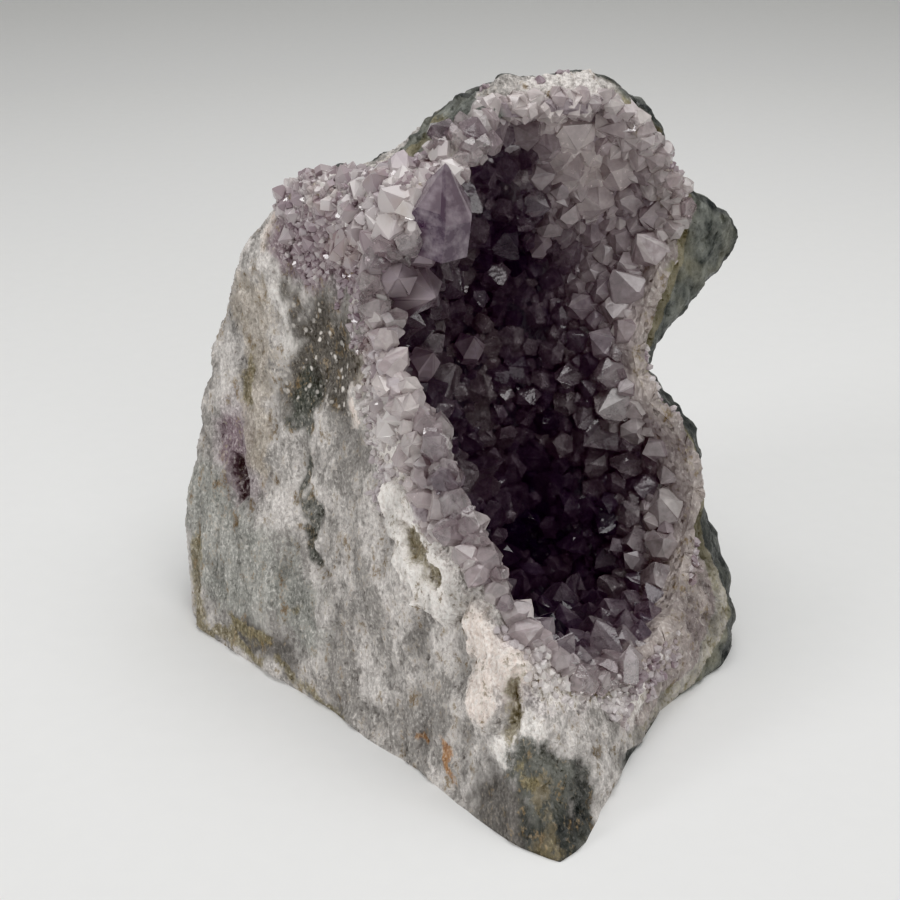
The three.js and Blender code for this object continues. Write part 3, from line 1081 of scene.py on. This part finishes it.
# %% The rock's shine and grain
tilted = add("VectorMath", {0: cells, 1: (0.5, 0.5, 0.5)}, operation="SUBTRACT")
little = add("VectorMath", {0: tilted, "Scale": 0.9}, operation="SCALE")
flat = add("NewGeometry", out="Normal")
leaned = add("VectorMath", {0: flat, 1: little}, operation="ADD")
facets = add("VectorMath", {0: leaned}, operation="NORMALIZE")
bumped = add("Bump", {"Height": fine, "Strength": 0.55, "Distance": 0.5 * MM, "Normal": facets})
shine = add("MapRange", {0: flecks.node.outputs["Color"], 3: 0.32, 4: 0.62})
stone = add(
    "BsdfPrincipled",
    {"Base Color": colour, "Roughness": shine, "Normal": bumped, "IOR": 1.54},
)
add("OutputMaterial", {"Surface": stone})
dress(rock, rock_material)
for face in rock.data.polygons:
    face.use_smooth = False


# %% [markdown]
# ### Amethyst
# Amethyst is quartz with a trace of iron: clear, glassy (an index of 1.544), and violet. Its faces grew
# flat and bright, so they are nearly smooth, but here and there a face is frosty from etching, and near the
# rim these pale faces are also painted glints. The inside is full of milky veils and cracks, so part of the
# light goes through and part comes back. The violet is an absorption in the body, so a thick crystal is
# darker than a thin one, and the base colour carries what the veils give back; deep in the hollow that base
# colour is painted shade. Each crystal has a tone of its own, and each face gets a tone from the way it
# faces, partly the real difference between faces and partly painted reflection.

# %% What tells the crystals apart
def tell_apart(by_face):
    """Numbers for each face, and for each crystal with its faces mixed in by the given share."""
    of_crystal = add("Attribute", out="Fac", attribute_name="tint")
    face_tone_and_light = add("Attribute", out="Fac", attribute_name="facet_tone_and_light")
    return face_tone_and_light, add("Mix", {0: by_face, 2: of_crystal, 3: face_tone_and_light})


# %% Amethyst
QUARTZ_IOR = 1.544
amethyst_material, add = new_material("amethyst_glassy_points")
place = add("TexCoord", out="Object")
how_deep = add("Attribute", out="Fac", attribute_name="depth")
how_dull = add("Attribute", out="Fac", attribute_name="dull")
face_tone_and_light, which = tell_apart(0.5)
veils = add("TexNoise", {"Vector": place, "Scale": per(2.4), "Detail": 4, "Roughness": 0.6})
smudge = add("TexNoise", {"Vector": place, "Scale": per(1.2), "Detail": 2})

rim_tone = add("Mix", {0: which, 6: "#fffaf7", 7: "#b9a6ac"}, **COLOURS)
mid_tone = add("Mix", {0: which, 6: "#c9bcc4", 7: "#7d7081"}, **COLOURS)
# The deepest tone is painted shade: near black where the hollow is deepest.
deep_shade_tone = add("Mix", {0: which, 6: "#3d3345", 7: "#241d2c"}, **COLOURS)
dull_tone = add("Mix", {0: which, 6: "#f0e7e4", 7: "#bcaeb1"}, **COLOURS)
violet = add("MapRange", {0: how_deep, 1: 0.0, 2: 0.6})
darker = add("MapRange", {0: how_deep, 1: 0.6, 2: 0.95})
clearer = add("Mix", {0: violet, 6: rim_tone, 7: mid_tone}, **COLOURS)
glassy = add("Mix", {0: darker, 6: clearer, 7: deep_shade_tone}, **COLOURS)
toned = add("Mix", {0: how_dull, 6: glassy, 7: dull_tone}, **COLOURS)
veiled = add("MapRange", {0: veils, 1: 0.5, 2: 0.75, 4: 0.12})
body = add("Mix", {0: veiled, 6: toned, 7: "#e6dfe0"}, **COLOURS)
clearness = add("MapRange", {0: veils, 1: 0.35, 2: 0.7, 3: 0.8, 4: 0.6})
less_clear = add("Math", {0: how_dull, 1: -0.45, 2: clearness}, operation="MULTIPLY_ADD")
# A few faces near the rim turn pale: partly the real frost of etching, partly painted glints.
frost_and_glint_face = add("MapRange", {0: face_tone_and_light, 1: 0.84, 2: 0.9, 4: 0.35})
shallow = add("MapRange", {0: how_deep, 1: 0.2, 2: 0.7, 3: 1.0, 4: 0.1})
etched_and_glint = add("Math", {0: frost_and_glint_face, 1: shallow}, operation="MULTIPLY")
body = add("Mix", {0: etched_and_glint, 6: body, 7: "#e9e2e1"}, **COLOURS)
rough = add("MapRange", {0: smudge, 1: 0.4, 2: 0.7, 3: 0.03, 4: 0.14})
rougher = add("Math", {0: how_dull, 1: 0.15, 2: rough}, operation="MULTIPLY_ADD")
ridges = add("Bump", {"Height": smudge, "Strength": 0.35, "Distance": 0.3 * MM})
glass = {"Base Color": body, "Roughness": rougher, "IOR": QUARTZ_IOR, "Normal": ridges}
skin_of_glass = add("BsdfPrincipled", {**glass, "Transmission Weight": less_clear})
violet_within = add("VolumeAbsorption", {"Color": "#bdafbb", "Density": 60})
add("OutputMaterial", {"Surface": skin_of_glass, "Volume": violet_within})
dress(druse, amethyst_material)


# %% [markdown]
# ### The largest points
# They are the same amethyst, with a little more violet and wide pale clouds where the veils gather. Their
# faces are wide and flat, so nothing roughens them but faint growth lines across, and the eye reads each as
# one plane.

# %% The largest points
clear_material, add = new_material("clear_amethyst_large_points")
place = add("TexCoord", out="Object")
# Half of each face's tone comes from the way it faces: partly the real difference between faces, partly
# painted reflection.
_, which = tell_apart(0.5)
clouds = add("TexNoise", {"Vector": place, "Scale": per(3.5), "Detail": 4, "Roughness": 0.6})
lines = add("TexWave", {"Vector": place, "Scale": per(4), "Distortion": 2}, "Fac", bands_direction="Z")
purple = add("Mix", {0: which, 6: "#d6cacd", 7: "#655366"}, **COLOURS)
cloudy = add("MapRange", {0: clouds, 1: 0.42, 2: 0.66, 4: 0.75})
clouded = add("Mix", {0: cloudy, 6: purple, 7: "#cabdc6"}, **COLOURS)
growth = add("Bump", {"Height": lines, "Strength": 0.1, "Distance": 0.1 * MM})
clear_glass = {"Base Color": clouded, "Roughness": 0.06, "IOR": QUARTZ_IOR, "Normal": growth}
add("OutputMaterial", {"Surface": add("BsdfPrincipled", {**clear_glass, "Transmission Weight": 0.45})})
dress(largest, clear_material)


# %% [markdown]
# ### Sugar quartz
# The crust outside the hollow is the same quartz, but nearly without iron, and its points are so small that
# they scatter the light like frost. So it is white to faint lilac, with more of the light coming back, and
# its tiny faces stay bright.

# %% Sugar quartz
sugar_material, add = new_material("sugar_quartz_frosted_points")
place = add("TexCoord", out="Object")
# A third of each face's tone comes from the way it faces: partly the real difference between faces, partly
# painted reflection.
_, which = tell_apart(0.3)
stained = add("TexNoise", {"Vector": place, "Scale": per(7), "Detail": 4, "Roughness": 0.6})
clean = add("Mix", {0: which, 6: "#fffbf8", 7: "#9c8b91"}, **COLOURS)
wide = add("TexNoise", {"Vector": place, "Scale": per(11), "Detail": 3, "Roughness": 0.6})
lilac = add("MapRange", {0: wide, 1: 0.42, 2: 0.62, 4: 0.35})
tinted = add("Mix", {0: lilac, 6: clean, 7: "#9d8b9a"}, **COLOURS)
iron = add("MapRange", {0: stained, 1: 0.54, 2: 0.72, 4: 0.3})
tinged = add("Mix", {0: iron, 6: tinted, 7: "#ab9480"}, **COLOURS)
sugary = {"Base Color": tinged, "Roughness": 0.07, "IOR": QUARTZ_IOR, "Transmission Weight": 0.2}
add("OutputMaterial", {"Surface": add("BsdfPrincipled", sugary)})
dress(sugar, sugar_material)


# %% [markdown]
# ## Scraps
# A union now and then leaves a scrap behind: a few triangles that belong to no crystal. No real crystal has
# so few faces, so the scraps are told by that and taken out. This clears away what lies loose, but it mends
# no union, so the edges that are still odd are counted and printed.

# %% Scraps taken out
FEWEST_FACES = 10
TOUCHING = 0.001 * MM


def take_out_scraps(piece):
    """Joins corners that coincide, and removes every patch of skin with only a few faces."""
    shape = bmesh.new()
    shape.from_mesh(piece.data)
    bmesh.ops.triangulate(shape, faces=shape.faces)
    bmesh.ops.remove_doubles(shape, verts=shape.verts, dist=TOUCHING)
    seen = set()
    scraps = []
    for start in shape.faces:
        if start in seen:
            continue
        seen.add(start)
        patch = [start]
        for face in patch:
            joined = {other for edge in face.edges if len(edge.link_faces) == 2 for other in edge.link_faces}
            patch += joined - seen
            seen |= joined
        if len(patch) < FEWEST_FACES:
            scraps += patch
    bmesh.ops.delete(shape, geom=scraps, context="FACES")
    torn = [edge for edge in shape.edges if len(edge.link_faces) == 1]
    bmesh.ops.holes_fill(shape, edges=torn, sides=6)
    bmesh.ops.triangulate(shape, faces=[face for face in shape.faces if len(face.verts) > 3])
    odd = sum(len(edge.link_faces) != 2 for edge in shape.edges)
    shape.to_mesh(piece.data)
    shape.free()
    print(piece.name, "lost", len(scraps), "faces in scraps, closed", len(torn), "edges, left", odd)


PIECES = (rock, druse, largest, sugar)
for piece in PIECES:
    take_out_scraps(piece)


# %% [markdown]
# ## Handing the pieces over
# The rock stands for the CAD rock, and the crystals stand for the CAD lining. The part has no joints, so
# all of them ride on its one body.

# %% Ride and replace
for piece, node, finish in (
    (rock, "matrix", "quartz_rock"),
    (druse, "cavity_druse", "amethyst"),
    (largest, "cavity_druse", "amethyst"),
    (sugar, "cavity_druse", "amethyst"),
):
    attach(piece, "root")
    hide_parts(node)

print("triangles:", {piece.name: len(piece.data.polygons) for piece in PIECES})
